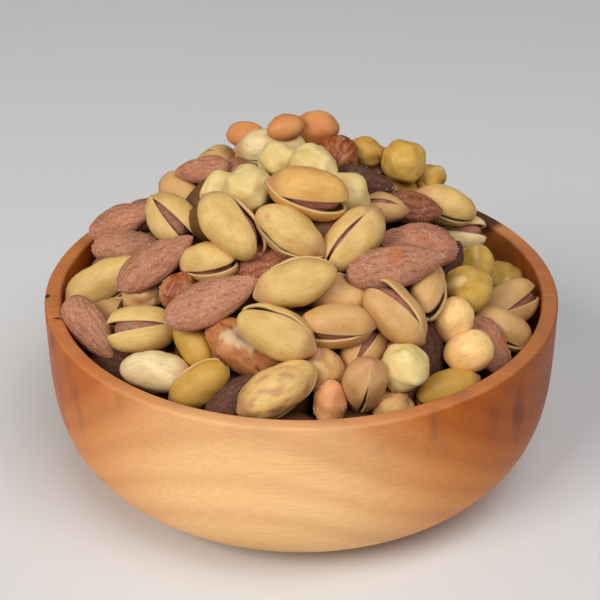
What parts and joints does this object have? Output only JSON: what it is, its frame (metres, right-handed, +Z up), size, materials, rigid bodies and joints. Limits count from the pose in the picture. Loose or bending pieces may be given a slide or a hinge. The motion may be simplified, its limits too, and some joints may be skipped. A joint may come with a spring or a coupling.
{
  "type": "bowl of mixed nuts",
  "caption": "Round turned wooden bowl heaped with mixed nuts: split pistachios in the shell, almonds, hazelnuts and roasted nuts.",
  "frame": {"origin": "on the table under the middle of the bowl's foot", "axes": "+Z up through the bowl's mouth, the pictured side faces -Y, +X to its right"},
  "size_m": [0.15, 0.15, 0.1059],
  "materials": {
    "bowl_wood": "oiled, satin",
    "nuts": "dry shells and roasted kernels, satin"
  },
  "bodies": {
    "root": {"bowl": "bowl_wood", "heap": "nuts"}
  },
  "joints": []
}
